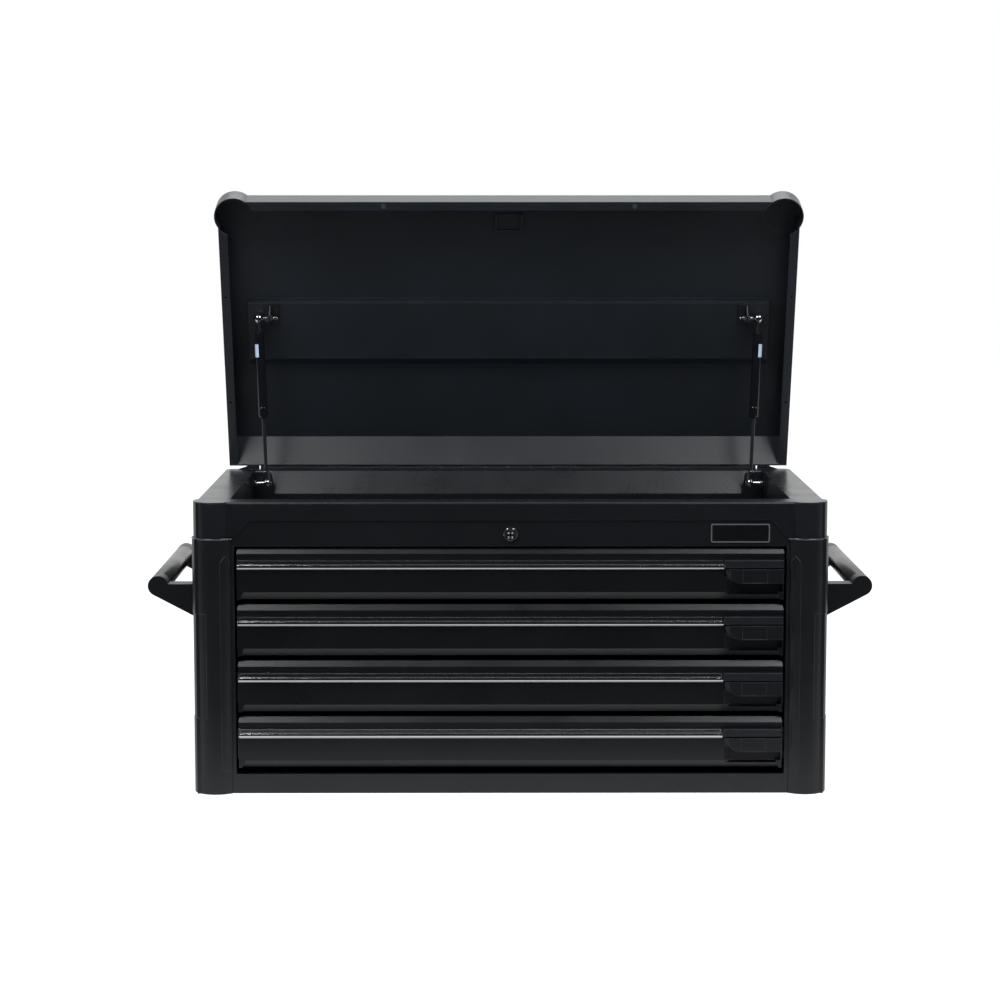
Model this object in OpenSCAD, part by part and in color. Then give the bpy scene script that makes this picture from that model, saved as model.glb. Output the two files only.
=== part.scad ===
// Top tool chest: four drawers on telescopic slides, a till under a lid on gas struts.
// Origin at the centre of the base, +X to the right, -Y to the front, +Z up. Millimetres.
// The lid is drawn open; its own shapes are written in its closed position.

/* [Case] */
// Distance between the outer faces of the two side walls
case_w = 908; // [800:1:1200]
// Depth from the front plane to the back face
case_d = 447; // [430:1:600]
// Thickness of the case's sheet steel
sheet = 1.5; // [1.2:0.1:2]
// Outer radius of the rolled front corner posts
post_r = 30.5; // [26:0.5:36]
// How far the posts stand proud of the side and front planes
post_proud = 6; // [4:0.5:8]
// Radius of the rear corners
rear_r = 12; // [6:1:20]
// Height of the rail under the drawers
rail_h = 28.5; // [20:0.5:50]
// Height of the front panel over the drawers
fascia_h = 64.4; // [60:0.1:90]
// Setback of the lower part of the front panel and of the drawer frame
frame_setback = 2; // [1:0.5:3]
// Width of the frame strip between post and drawer opening
stile_w = 54.5; // [50:0.5:70]

/* [Rim and till] */
// Width of the rim at the sides
rim_side_w = 46.5; // [40:0.5:60]
// Width of the rim at the front
rim_front_w = 39; // [36:1:60]
// Width of the rim at the back
rim_back_w = 19.5; // [15:0.5:30]
// Depth of the till under the rim
till_h = 60; // [40:1:64]
// Depth of the folded wall at the back of the till
back_fold_h = 36; // [20:1:45]
// How far the foot of that wall lies in front of its upper edge
back_fold_run = 22; // [0:1:30]
// Height of the upstands on the rim beside the hinge
upstand_h = 4.5; // [2:0.5:5]
// Radius of the fold between the rim and the front panel
edge_r = 4; // [2:0.5:6]

/* [Corner sleeves] */
// Distance of the sleeves' upper edge below the rim
sleeve_drop = 53; // [30:1:80]
// Thickness of the sleeves
sleeve_t = 2.5; // [1.2:0.1:3]
// How far the sleeves run back along the side walls from the posts' axis
sleeve_wrap = 34; // [20:1:60]
// Height of the raised panel on a sleeve
sleeve_panel_t = 0.7; // [0.5:0.1:1]
// Depth of the long recess at a sleeve's outer side
sleeve_recess = 0.7; // [0.4:0.1:1]

/* [Drawers] */
// Number of drawers
drawers = 4; // [4:1:4]
// Distance from one drawer to the next
drawer_pitch = 82.7; // [75:0.1:110]
// Gap between two drawer fronts
drawer_gap = 7.5; // [3:0.5:10]
// Gap between the bottom rail and the lowest drawer front
sill_gap = 9.6; // [4:0.1:12]
// Gap between the uppermost drawer front and the front panel
head_gap = 2.5; // [1.5:0.1:6]
// Gap between a drawer front's end and the frame
side_gap = 3.8; // [2:0.1:6]
// Thickness of the drawers' sheet steel
drawer_sheet = 1.2; // [1:0.1:1.5]
// Depth of a drawer front from its face to the tray
front_d = 18; // [14:1:24]
// Depth of a tray
tray_d = 400; // [360:1:410]
// Height of the bevel along a front's upper edge
top_bevel = 8; // [4:0.5:12]
// Height of the bevel along a front's lower edge
low_bevel = 11; // [6:0.5:14]
// Radius of a front's upper corners
front_corner = 5; // [2:0.5:7]
// Travel of a drawer
drawer_travel = 370; // [300:1:380]

/* [Slides] */
// Thickness of a closed slide
slide_t = 12.7; // [12.7:0.1:14]
// Height of a slide's outer member
slide_h = 45; // [40:1:50]
// Thickness of the slide members' steel
slide_sheet = 1.2; // [1:0.1:1.4]
// Running clearance between two slide members
slide_gap = 0.4; // [0.3:0.1:0.6]
// Length of a slide's outer member
slide_len = 390; // [340:1:400]
// Width of the uprights that carry the slides
upright_w = 26; // [16:1:40]
// Distance of the rear uprights from the slides' rear ends
upright_in = 64; // [20:1:120]

/* [Trim and latches] */
// Height of the trim strip
trim_h = 14.6; // [12:0.1:18]
// Distance of the trim below a front's upper edge
trim_drop = 16.6; // [12:0.1:20]
// How far the trim stands out of a front
trim_t = 4; // [3:0.5:6]
// Width of a latch at the right end of a front
latch_w = 85; // [70:1:110]
// How far a latch stands out of a front
latch_t = 9; // [8:0.5:12]
// Height of a latch's lever under its hood
lever_h = 21.7; // [18:0.1:28]
// Angle through which a lever is pulled
lever_swing = 15; // [10:1:15]

/* [Lid] */
// Height of the lid
lid_h = 38; // [34:1:60]
// Setback of the lid's sides from the case's sides
lid_inset = 3.5; // [2:0.5:5]
// Gap between the closed lid and the rim
lid_gap = 1; // [0.6:0.1:2]
// Width of the folded lip round the lid's opening
lid_lip = 13.8; // [8:0.1:20]
// Run of the sloped rear wall of the lid
lid_slope = 35; // [20:1:60]
// Angle at which the open lid stops
lid_open = 71.5; // [60:0.5:90]
// Wall of the rolled corners of the lid
cap_wall = 2; // [1.2:0.1:3]
// Distance of the channel's front edge from the lid's rear edge
channel_front = 271; // [255:1:300]
// Distance of the channel's rear edge from the lid's rear edge
channel_rear = 176; // [120:1:190]
// Run of the slanted wall along the channel's rear edge
channel_foot = 13; // [4:1:20]
// Depth of the channel
channel_h = 10; // [6:0.5:11]
// Distance of the bumpers from the lid's sides
bumper_in = 256.5; // [100:0.5:300]
// Distances of the holes in a side lip from the lid's rear edge
lip_holes = [111, 290]; // [60:1:380]
// Radius of the holes in the side lips
lip_hole_r = 2.2; // [1.5:0.1:4]
// Distance of the striker's front end from the lid's front
striker_in = 30.5; // [20:0.5:60]
// Width of the striker
striker_w = 42; // [30:1:60]
// Length of the striker
striker_len = 27.5; // [20:0.5:40]

/* [Hinge] */
// Outer radius of the hinge's knuckles
knuckle_r = 4; // [3:0.5:5]
// Radius of the hinge pin
pin_r = 1.5; // [1:0.25:2]
// Length of one knuckle
knuckle_len = 36.4; // [30:0.1:60]
// Height of the hinge's leaf on the case
leaf_h = 26; // [18:1:32]
// Number of knuckles on both leaves together
knuckles = 22; // [10:2:22]

/* [Gas struts] */
// Distance of the lower studs' balls in front of the till's side walls
stud_low_out = 23.5; // [20:0.5:30]
// Distance from an upper ball in to its bracket's plate
stud_reach = 18; // [14:0.5:22]
// How far the struts lean outwards on their way up
strut_spread = 11.5; // [0:0.5:14]
// Radius of a strut's cylinder
strut_r = 7.5; // [5:0.5:7.5]
// Radius of a strut's rod
rod_r = 3; // [2:0.25:4]
// Distance of the lower stud in front of the back plane
stud_low_in = 74; // [60:1:90]
// Distance of the lower stud under the rim
stud_low_drop = 15; // [12:1:30]
// Distance of the upper stud from the lid's rear edge
stud_up_run = 248.5; // [225:0.5:252]
// Height of the upper stud over the lid's lower edge
stud_up_rise = 16; // [12:1:18]
// Radius of the studs' balls
ball_r = 5; // [4:0.5:6]
// Length of a strut's cylinder
tube_len = 134; // [125:1:140]
// Length of a cylinder's end fitting, from the ball's middle
tube_fit = 23; // [14:0.5:24]
// Length of a rod's end fitting, from the ball's middle
rod_fit = 19; // [12:0.5:19]
// Length of rod that stays in the cylinder with the lid open
rod_in = 34; // [20:1:40]

/* [Handles] */
// Radius of the handle tubes
grip_r = 12.8; // [10:0.2:16]
// Distance of a tube's axis from the side wall
grip_out = 62; // [50:1:90]
// Height of the tubes' axis over the base
grip_z = 299; // [200:1:320]
// Distance between the middles of a handle's two brackets
bracket_pitch = 324; // [200:1:340]
// Width of a handle bracket
bracket_w = 28; // [20:1:40]
// Depth of a bracket's root below the tube's axis
bracket_root = 49.5; // [35:0.5:60]
// Height of a bracket's upper edge over the tube's axis
bracket_top = 3; // [2:0.5:10]
// Wall of a bracket round the tube
bracket_wall = 2.1; // [1.5:0.1:4]
// Drop of a bracket's upper bolt below the tube's axis
bolt_drop = 10; // [6:0.5:16]
// Distance between a bracket's two bolts
bolt_pitch = 22; // [14:0.5:26]

/* [Lock and plate] */
// Outer radius of the lock's ring
lock_r = 10.3; // [8:0.1:12]
// Distance of the lock below the rim
lock_drop = 47; // [44:1:50]
// Width of the name plate
plate_w = 85.5; // [60:0.5:120]
// Height of the name plate
plate_h = 27.5; // [20:0.5:30]
// Distance of the name plate's middle from the side wall
plate_in = 122; // [121:1:200]

/* [Hidden] */
$fn = 48;
touch = 0.02;

// Levels
opening_h = sill_gap + drawers * drawer_pitch - drawer_gap + head_gap;
case_h = rail_h + opening_h + fascia_h;
fascia_z = case_h - fascia_h;
till_z = case_h - till_h - sheet;

// Planes
side_x = case_w / 2;
front_y = -case_d / 2;
back_y = case_d / 2;
frame_y = front_y + frame_setback;
post_x = side_x + post_proud - post_r;
post_y = front_y - post_proud + post_r;
opening_x = side_x - stile_w;

// Rim
till_x = side_x - rim_side_w;
till_front = front_y + rim_front_w;
till_back = back_y - rim_back_w;

// Drawer fronts and trays
front_h = drawer_pitch - drawer_gap;
front_x = opening_x - side_gap;
tray_front = front_y + front_d;
tray_back = tray_front + tray_d;
slide_x = opening_x + 1;
tray_x = slide_x - slide_t;
tray_h = front_h - 14;
slide_front = tray_front + 4;

// Latch
latch_x = front_x - latch_w - 1.5;
hood_h = trim_h - 3.4;
lever_gap = 2.2;
lever_pivot_y = front_y - 3;

// Lid
lid_z = case_h + lid_gap;
lid_top = lid_z + lid_h;
lid_x = side_x - lid_inset;
cap_x = post_x - lid_inset - 0.5;
cap_side_dy = sqrt(post_r * post_r - pow(lid_x - cap_x, 2));
cap_front_dx = sqrt(post_r * post_r - pow(post_y - front_y, 2));
channel_x = till_x + 5;
plate_x = side_x - plate_in;
hinge_y = back_y + knuckle_r + 0.3;
hinge_z = case_h;

// Studs, the upper one with the lid closed and open
low_x = till_x - stud_low_out;
low_y = back_y - stud_low_in;
low_z = case_h - stud_low_drop;
up_x = low_x + strut_spread;
up_y = back_y - stud_up_run;
up_z = lid_z + stud_up_rise;
open_y = hinge_y + (up_y - hinge_y) * cos(lid_open) + (up_z - hinge_z) * sin(lid_open);
open_z = hinge_z - (up_y - hinge_y) * sin(lid_open) + (up_z - hinge_z) * cos(lid_open);

// Struts: a strut swings about the axis that is square to its open and its closed direction
strut_to_open = [up_x - low_x, open_y - low_y, open_z - low_z];
strut_to_shut = [up_x - low_x, up_y - low_y, up_z - low_z];
strut_len = norm(strut_to_open);
strut_shut = norm(strut_to_shut);
strut_lean = atan2(strut_to_open.y, strut_to_open.z);
strut_tilt = asin(strut_to_open.x / strut_len);
swing_axis = cross(strut_to_open, strut_to_shut) / norm(cross(strut_to_open, strut_to_shut));
socket_r = ball_r + 2.5;
tube_top = strut_len - tube_fit;
tube_foot = tube_top - tube_len;

// Colours
powder = [0.09, 0.09, 0.1];
satin = [0.14, 0.14, 0.15];
moulded = [0.1, 0.1, 0.11];
zinc = [0.65, 0.66, 0.68];
bright = [0.85, 0.85, 0.87];
rubber = [0.2, 0.18, 0.22];

// ---------- helpers ----------

module box(low, high) {
    translate(low) cube(high - low);
}

// Both sides of the middle plane
module pair() {
    children();
    mirror([1, 0, 0]) children();
}

// Extrusion along X of a section drawn in Y and Z
module along_x(x0, x1) {
    translate([x0, 0, 0]) rotate([90, 0, 90]) linear_extrude(x1 - x0) children();
}

// Extrusion along Y of an outline drawn in X and Z
module along_y(y0, y1) {
    translate([0, y1, 0]) rotate([90, 0, 0]) linear_extrude(y1 - y0) children();
}

module rod_x(x0, x1, y, z, r) {
    translate([x0, y, z]) rotate([0, 90, 0]) cylinder(h = x1 - x0, r = r);
}

module rod_y(x, y0, y1, z, r) {
    translate([x, y0, z]) rotate([-90, 0, 0]) cylinder(h = y1 - y0, r = r);
}

module round_rect(w, h, r) {
    for (x = [-w / 2 + r, w / 2 - r], y = [-h / 2 + r, h / 2 - r]) translate([x, y]) circle(r);
    square([w - 2 * r, h], center = true);
    square([w, h - 2 * r], center = true);
}

// ---------- case ----------

// Where the post's round meets the frame strip and the side wall, from the post's axis
post_frame_dy = post_r - post_proud - frame_setback;
post_frame_dx = sqrt(post_r * post_r - post_frame_dy * post_frame_dy);
post_side_dy = sqrt(post_r * post_r - pow(post_r - post_proud, 2));
rear_fold = 20;

// Filled plan of the case's right side from x0 outwards, grown by g
module case_plan(g, x0) {
    translate([post_x, post_y]) circle(post_r + g);
    translate([x0, frame_y - g]) square([side_x + g - x0, back_y - rear_r - frame_y + g]);
    translate([x0, frame_y - g]) square([side_x - rear_r - x0, back_y - frame_y + 2 * g]);
    translate([side_x - rear_r, back_y - rear_r]) circle(rear_r + g);
}

module side_panel() {
    difference() {
        linear_extrude(case_h - sheet) difference() {
            case_plan(0, opening_x);
            case_plan(-sheet, opening_x + sheet);
            translate([opening_x - 1, tray_front + 2])
                square([side_x - rear_r - rear_fold - opening_x + 1, case_d]);
        }
        box([opening_x - 1, frame_y - 1, fascia_z],
            [post_x - post_frame_dx + 0.5, tray_front + 3, case_h]);
    }
}

module side_panel_right() { color(powder) side_panel(); }

module side_panel_left() { color(powder) mirror([1, 0, 0]) side_panel(); }

module back_panel() {
    edge = side_x - rear_r - rear_fold;
    color(powder) {
        box([-edge, back_y - sheet, 0], [edge, back_y, case_h - sheet]);
        pair() box([edge, back_y - 2 * sheet, 0], [edge + 14, back_y - sheet, case_h - sheet]);
        for (z = [case_h * 0.3, case_h * 0.62])
            along_x(-edge + 40, edge - 40) translate([back_y - sheet, z]) circle(4);
    }
}

module base_panel() {
    color(powder) {
        pair() linear_extrude(sheet) difference() {
            case_plan(-sheet, 0);
            translate([opening_x, frame_y]) square([sheet, tray_front + 2 - frame_y]);
            translate([0, back_y - 2 * sheet]) square([side_x, 2 * sheet]);
        }
        for (y = [-120, 0, 120]) box([-opening_x + 60, y - 9, sheet], [opening_x - 60, y + 9, sheet + 3]);
    }
}

// Section in Y and Z of the leaning wall at the back of the till
module back_fold() {
    foot_z = case_h - back_fold_h;
    foot_y = till_back - back_fold_run;
    across = sheet * norm([back_fold_run, back_fold_h]) / back_fold_h;
    polygon([
        [till_back, case_h - sheet], [till_back + across, case_h - sheet], [foot_y + across, foot_z], [foot_y, foot_z]
    ]);
}

// Outline in X and Z of the upstand between the hinge's end and the lid's side lip
module upstand() {
    x0 = knuckles * knuckle_len / 2 + 1;
    x1 = lid_x - lid_lip - 1;
    polygon([
        [x0, case_h - sheet], [x1, case_h - sheet], [x1, case_h + 0.3], [x1 - 14, case_h + upstand_h],
        [x0, case_h + upstand_h]
    ]);
}

module rim_frame() {
    wall_z = till_z + sheet;
    under = case_h - sheet;
    upstand_y = back_y - 5 * sheet;
    color(powder) {
        translate([0, 0, under]) linear_extrude(sheet) difference() {
            union() {
                translate([-side_x, front_y + edge_r]) square([case_w, case_d - edge_r - rear_r]);
                translate([-side_x + rear_r, 0]) square([case_w - 2 * rear_r, back_y]);
                for (s = [-1, 1]) translate([s * (side_x - rear_r), back_y - rear_r]) circle(rear_r);
                for (s = [-1, 1]) translate([s * post_x, post_y]) circle(post_r);
            }
            translate([-till_x, till_front]) square([2 * till_x, till_back - till_front]);
        }
        box([-till_x - sheet, till_front - sheet, wall_z], [till_x + sheet, till_front, under]);
        pair() box([till_x, till_front, wall_z], [till_x + sheet, back_y - 2 * sheet, under]);
        along_x(-till_x, till_x) back_fold();
        pair() along_y(upstand_y, upstand_y + sheet) upstand();
    }
}

// Outline of the proud upper band of the front panel
module band_outline() {
    low = case_h - sleeve_drop + 3;
    step_z = case_h - 26;
    end_x = post_x - post_r + 14;
    polygon([
        [-end_x, case_h - edge_r], [end_x, case_h - edge_r], [end_x, low], [end_x - 14, low],
        [end_x - 36, step_z], [-end_x + 36, step_z], [-end_x + 14, low], [-end_x, low]
    ]);
}

module fascia() {
    color(powder) difference() {
        union() {
            along_y(frame_y, frame_y + sheet) translate([-post_x, fascia_z])
                square([2 * post_x, case_h - edge_r - fascia_z]);
            along_y(front_y, frame_y + sheet) band_outline();
            along_x(-post_x, post_x) intersection() {
                difference() {
                    translate([front_y + edge_r, case_h - edge_r]) circle(edge_r);
                    translate([front_y + edge_r, case_h - edge_r]) circle(edge_r - sheet);
                }
                translate([front_y, case_h - edge_r]) square(edge_r);
            }
            box([-opening_x, frame_y + sheet, fascia_z], [opening_x, tray_front + 4, fascia_z + sheet]);
        }
        pair() translate([post_x, post_y, 0]) cylinder(h = case_h + 1, r = post_r + touch);
        rod_y(0, front_y - 1, frame_y + 2 * sheet, case_h - lock_drop, lock_r - 1.2);
    }
}

module bottom_rail() {
    color(powder) {
        box([-opening_x, frame_y, 0], [opening_x, frame_y + sheet, rail_h]);
        box([-opening_x, frame_y + sheet, rail_h - sheet], [opening_x, tray_front + 2, rail_h]);
        box([-opening_x, tray_front + 2 - sheet, rail_h - 8], [opening_x, tray_front + 2, rail_h - sheet]);
    }
}

module till_floor() {
    wall = side_x - sheet;
    color(powder) difference() {
        box([-wall, till_front - sheet, till_z], [wall, back_y - 2 * sheet, till_z + sheet]);
        pair() box([wall - rear_r, back_y - rear_r, till_z - 1], [wall + 1, back_y, till_z + 3]);
    }
}

// ---------- corner sleeves ----------

sleeve_top = case_h - sleeve_drop;
recess_z0 = 112;
recess_z1 = 266;

// Plan of a sleeve that stands out by t over the post and the walls
module sleeve_plan(t) {
    edge_x = opening_x + 6;
    intersection() {
        difference() {
            case_plan(t, opening_x);
            case_plan(touch, opening_x);
        }
        translate([edge_x, front_y - 2 * post_proud])
            square([side_x - edge_x + 2 * post_proud, sleeve_wrap + post_y - front_y + 2 * post_proud]);
    }
}

// Everything outside a skin that stands out by t
module sleeve_plan_over(t) {
    difference() {
        translate([post_x, front_y - 20]) square([side_x - post_x + 20, 80]);
        case_plan(t, opening_x);
    }
}

// Outline, seen from the front, of the raised panel with its pointed top
module sleeve_panel_outline() {
    left = opening_x + 5;
    right = post_x - 10;
    top = sleeve_top - 34;
    low = 34;
    polygon([
        [left, low], [right - 5, low], [right, low + 5], [right, top], [(left + right) / 2, top + 9], [left, top]
    ]);
}

module sleeve() {
    difference() {
        linear_extrude(sleeve_top) sleeve_plan(sleeve_t);
        intersection() {
            translate([0, 0, recess_z0]) linear_extrude(recess_z1 - recess_z0)
                sleeve_plan_over(sleeve_t - sleeve_recess);
            box([post_x + 11, front_y - 20, recess_z0 - 1], [side_x + 9, post_y + sleeve_wrap - 8, recess_z1 + 1]);
        }
        box([side_x, -bracket_pitch / 2 - bracket_w / 2 - 0.5, grip_z - bracket_root - 0.5],
            [side_x + 9, post_y + 99, grip_z + bracket_top + 0.5]);
    }
    intersection() {
        linear_extrude(sleeve_top) sleeve_plan(sleeve_t + sleeve_panel_t);
        along_y(front_y - 20, post_y) sleeve_panel_outline();
    }
}

module corner_sleeves() { color(moulded) pair() sleeve(); }

// ---------- slides ----------

module slide_uprights() {
    wall = side_x - sheet;
    rear_y = slide_front + slide_len - upright_in - upright_w;
    color(zinc) pair() for (y = [slide_front, rear_y])
        difference() {
            box([slide_x, y, sheet], [wall, y + upright_w, till_z]);
            box([slide_x + sheet, y + sheet, 0], [wall + 1, y + upright_w - sheet, till_z + 1]);
        }
}

// Height of a drawer front's lower edge, counted from the top drawer
function drawer_z(i) = fascia_z - head_gap - front_h - (i - 1) * drawer_pitch;
function slide_z(i) = drawer_z(i) + 2 + tray_h / 2;

// Channel section: p runs from the upright towards the drawer, q is the height
module channel(p0, p1, h, lip) {
    s = slide_sheet;
    for (m = [0, 1]) mirror([0, m]) {
        translate([p0, 0]) square([s, h / 2]);
        translate([p0, h / 2 - s]) square([p1 - p0, s]);
        translate([p1 - s, h / 2 - lip]) square([s, lip]);
    }
}

outer_p = slide_t - slide_sheet;
mid_p0 = slide_sheet + slide_gap;
mid_p1 = outer_p - slide_sheet - slide_gap;
mid_h = slide_h - 2 * (slide_sheet + slide_gap);
inner_p0 = mid_p0 + slide_sheet + slide_gap;
inner_p1 = mid_p1 - slide_sheet - slide_gap;
inner_h = mid_h - 2 * (slide_sheet + slide_gap);

module inner_section() {
    s = slide_sheet;
    leg = inner_h / 2 - 7.4;
    for (m = [0, 1]) mirror([0, m]) {
        translate([inner_p0, inner_h / 2 - s]) square([inner_p1 - inner_p0, s]);
        translate([inner_p1 - s, leg]) square([s, inner_h / 2 - leg]);
        translate([inner_p1 - s, leg]) square([slide_t - inner_p1 + s, s]);
        translate([slide_t - s, 0]) square([s, leg + s]);
    }
}

// Runs a slide section along Y at the height of drawer i
module slide_run(i, y0, y1) {
    translate([slide_x, y1, slide_z(i)]) rotate([90, 0, 0])
        linear_extrude(y1 - y0) mirror([1, 0]) children();
}

module slide_channels() {
    color(zinc) pair() for (i = [1:drawers])
        slide_run(i, slide_front, slide_front + slide_len) channel(0, outer_p, slide_h, 5.5);
}

module drawer_mid_slides(i) {
    color(zinc) pair() slide_run(i, slide_front, slide_front + slide_len - 10)
        channel(mid_p0, mid_p1, mid_h, 7);
}

module drawer_slides(i) {
    color(zinc) pair() slide_run(i, slide_front, slide_front + slide_len - 4) inner_section();
}

// ---------- drawers ----------

module drawer_tray(i) {
    t = drawer_sheet;
    z = drawer_z(i) + 2;
    color(powder) {
        difference() {
            box([-tray_x, tray_front, z], [tray_x, tray_back, z + tray_h]);
            box([-tray_x + t, tray_front + t, z + t], [tray_x - t, tray_back - t, z + tray_h + 1]);
        }
        pair() box([tray_x - 6, tray_front + t, z + tray_h - t], [tray_x - t, tray_back - t, z + tray_h]);
        box([-tray_x + 6, tray_back - 6, z + tray_h - t], [tray_x - 6, tray_back - t, z + tray_h]);
    }
}

// Section of a drawer front in Y and Z, set in by t from the outer skin
module front_section(t) {
    b = 0.6 * t;
    polygon([
        [tray_front + (t > 0 ? 1 : 0), t], [front_y + 7 + b, t], [front_y + t, low_bevel + b],
        [front_y + t, front_h - top_bevel - b], [front_y + 6 + b, front_h - t],
        [tray_front + (t > 0 ? 1 : 0), front_h - t]
    ]);
}

// Outline of a drawer front seen from the front, set in by t, with rounded upper corners
module front_outline(t) {
    r = front_corner - t;
    w = front_x - t;
    translate([-w, t]) square([2 * w, front_h - 2 * t - r]);
    translate([-w + r, t]) square([2 * (w - r), front_h - 2 * t]);
    for (s = [-1, 1]) translate([s * (w - r), front_h - t - r]) circle(r);
}

module front_body(t) {
    intersection() {
        along_x(-front_x + t, front_x - t) front_section(t);
        along_y(front_y - 1, tray_front + 2) front_outline(t);
    }
}

// Hollow under the lever for the fingers, with a slanted left end
module finger_hollow(grow) {
    x0 = latch_x + 1 - grow;
    x1 = front_x - 2 + grow;
    back = front_y + 7 + grow;
    slant = 11 / 7;
    intersection() {
        along_x(x0 - 4, x1) polygon([
            [front_y - 1, 5 - grow], [back, 10 - grow], [back, 24 + grow], [front_y - 1, 34 + grow]
        ]);
        linear_extrude(front_h) polygon([
            [x0 - 2 * slant, front_y - 2], [x0 + slant * (back + 1 - front_y), back + 1], [x1, back + 1], [x1, front_y - 2]
        ]);
    }
}

// Flat end of the lower bevel, with its slanted edge
module bevel_end() {
    along_y(front_y, front_y + 8) polygon([
        [front_x, 0], [front_x - 4.5, 0], [front_x - 9, low_bevel], [front_x, low_bevel]
    ]);
}

module drawer_front(i) {
    t = drawer_sheet;
    color(powder) translate([0, 0, drawer_z(i)]) {
        difference() {
            front_body(0);
            front_body(t);
            finger_hollow(0);
        }
        intersection() {
            difference() {
                finger_hollow(t);
                finger_hollow(0);
            }
            front_body(0);
        }
        pair() bevel_end();
    }
}

// Section of the trim in Y and Z: a rolled lower edge under a recessed band and a thin upper edge
module trim_section() {
    intersection() {
        union() {
            translate([front_y, trim_t + 0.4]) circle(trim_t);
            translate([front_y - 1.5, 0.4]) square([1.5, trim_h - 0.4]);
            translate([front_y - trim_t + 1, trim_h - 1.4]) square([trim_t - 1, 1.4]);
        }
        translate([front_y - trim_t, 0]) square([trim_t, trim_h]);
    }
}

module drawer_trim(i) {
    z = drawer_z(i) + front_h - trim_drop - trim_h;
    x0 = -front_x + 0.7;
    x1 = latch_x - 0.5;
    end_w = 2.5;
    color(bright) translate([0, 0, z]) {
        along_x(x0, x1) trim_section();
        for (x = [x0, x1 - end_w]) box([x, front_y - trim_t + 1, 2], [x + end_w, front_y, trim_h]);
    }
}

module drawer_latch_hood(i) {
    z = drawer_z(i) + front_h - trim_drop;
    w = 1.6;
    x1 = front_x - 1.5;
    color(moulded) difference() {
        along_x(latch_x, x1) polygon([
            [front_y, z - hood_h], [front_y - latch_t + 1, z - hood_h], [front_y - latch_t, z - hood_h + 1],
            [front_y - latch_t, z - 0.6], [front_y - latch_t + 0.6, z], [front_y, z]
        ]);
        box([latch_x + w + 2, front_y - latch_t + w, z - hood_h - 1], [x1 - w - 2, front_y - w / 2, z - w]);
        rod_x(latch_x + w, x1 - w, lever_pivot_y, z - hood_h / 2, 1.55);
    }
}

// Outline of a lever seen from the front, with its swept left corner
module lever_outline(x0, x1, z0, z1, r) {
    difference() {
        translate([x0, z0]) square([x1 - x0, z1 - z0]);
        translate([x0, z0]) difference() {
            square([r, r]);
            translate([r, r]) circle(r);
        }
    }
}

module drawer_lever(i) {
    hood_z = drawer_z(i) + front_h - trim_drop - hood_h;
    top = hood_z - lever_gap;
    pivot_z = hood_z + hood_h / 2;
    x0 = latch_x + 2;
    x1 = front_x - 1.5;
    low = top - lever_h;
    color(moulded) difference() {
        union() {
            hull() {
                along_y(front_y - 3, front_y - 2) lever_outline(x0, x1, low, top, 20, $fn = 32);
                along_y(front_y - latch_t, front_y - latch_t + 1)
                    lever_outline(x0 + 6, x1, low + 1.5, top, 16, $fn = 32);
            }
            box([latch_x + 5, front_y - 4.6, top - 2], [x1 - 5, front_y - 1.5, pivot_z]);
            rod_x(latch_x + 5, x1 - 5, lever_pivot_y, pivot_z, 1.6);
            rod_x(latch_x + 2, x1 - 2, lever_pivot_y, pivot_z, 1.5);
        }
        box([x0 + 26, front_y - latch_t + 2.5, low - 1], [x1 - 3, front_y + 1, top - 3]);
        box([x0 + 24.5, front_y - latch_t - 1, low + 2], [x1 - 23, front_y - latch_t + 0.4, top - 0.8]);
    }
}

// ---------- lock and name plate ----------

lock_z = case_h - lock_drop;
barrel_len = 24;

module lock_housing() {
    color(bright) difference() {
        union() {
            rod_y(0, frame_y - 2, frame_y, lock_z, lock_r);
            translate([0, frame_y - 2, lock_z]) rotate([90, 0, 0]) cylinder(h = 1.5, r1 = lock_r, r2 = lock_r - 1.5);
            rod_y(0, frame_y, frame_y + barrel_len, lock_z, lock_r - 1.3);
            rod_y(0, frame_y + sheet, frame_y + sheet + 3, lock_z, lock_r + 1);
        }
        rod_y(0, frame_y - 4, frame_y + barrel_len + 1, lock_z, 6.05);
    }
}

module lock_plug() {
    color(satin) difference() {
        union() {
            rod_y(0, frame_y - 3, frame_y + barrel_len + 1, lock_z, 6);
            rod_y(0, frame_y + barrel_len + 1, frame_y + barrel_len + 5, lock_z, 3);
        }
        box([-0.8, frame_y - 4, lock_z - 4], [0.8, frame_y + 12, lock_z + 4]);
    }
}

module lock_cam() {
    y0 = frame_y + barrel_len + 1;
    color(zinc) difference() {
        along_y(y0, y0 + 2.5) {
            translate([0, lock_z]) circle(8);
            translate([-6, lock_z - 17]) square([12, 17]);
        }
        rod_y(0, y0 - 1, y0 + 4, lock_z, 3);
    }
}

module name_plate() {
    z = (fascia_z + case_h - 26) / 2;
    color(satin) difference() {
        along_y(frame_y - 1.2, frame_y) translate([plate_x, z]) round_rect(plate_w, plate_h, 3);
        along_y(frame_y - 2, frame_y - 0.6) translate([plate_x, z]) round_rect(plate_w - 4, plate_h - 4, 2);
    }
}

// ---------- handles ----------

module bracket_outline() {
    r = grip_r + bracket_wall;
    slope = 25.6;
    c = [side_x + grip_out, grip_z];
    difference() {
        union() {
            translate(c) circle(r);
            polygon([
                c + r * [sin(slope), -cos(slope)], [side_x, grip_z - bracket_root], [side_x, grip_z + bracket_top],
                [side_x + grip_out - r + 3, grip_z + bracket_top], c
            ]);
        }
    }
}

module handle_brackets() {
    color(moulded) pair() for (s = [-1, 1]) {
        y = s * bracket_pitch / 2;
        difference() {
            along_y(y - bracket_w / 2, y + bracket_w / 2) bracket_outline();
            rod_y(side_x + grip_out, y - (s > 0 ? bracket_w : 8), y + (s > 0 ? 8 : bracket_w), grip_z, grip_r + touch);
        }
    }
}

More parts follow.
